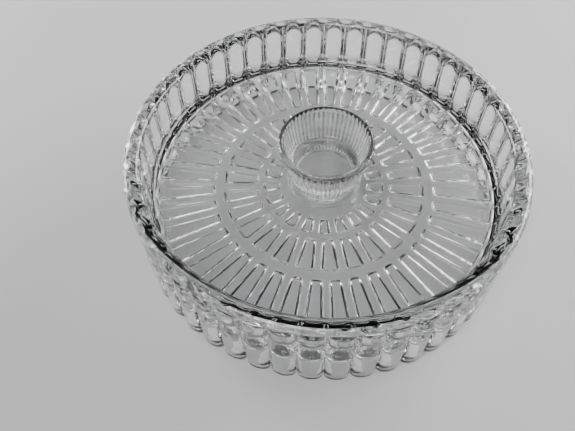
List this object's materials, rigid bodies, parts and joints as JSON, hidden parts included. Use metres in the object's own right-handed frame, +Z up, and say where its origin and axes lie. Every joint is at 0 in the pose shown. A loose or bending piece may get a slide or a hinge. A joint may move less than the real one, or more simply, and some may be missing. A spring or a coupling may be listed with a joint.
{
  "type": "chip and dip server",
  "caption": "Round pressed-glass chip tray with a pillared wall and a barred underside, and a fine-ribbed dip cup that stands in a socket at its centre and lifts out.",
  "frame": {"origin": "centre of the plane that the tray's foot stands on", "axes": "+Z straight up along the tray's and the cup's common axis; X and Y level, +X through the middle of one pillar"},
  "size_m": [0.304, 0.304, 0.091],
  "materials": {
    "tray_glass": "fire-polished clear crystal, smooth above, pressed bars and pillars below and outside",
    "cup_glass": "fire-polished clear crystal, smooth inside, fine upright ribs outside"
  },
  "bodies": {
    "tray": {"tray": "tray_glass"},
    "cup": {"dip_cup": "cup_glass"}
  },
  "joints": [
    {"name": "cup_lift", "type": "slide", "parent": "tray", "child": "cup", "axis": [0, 0, 1], "range_m": [0, 0.09]}
  ]
}
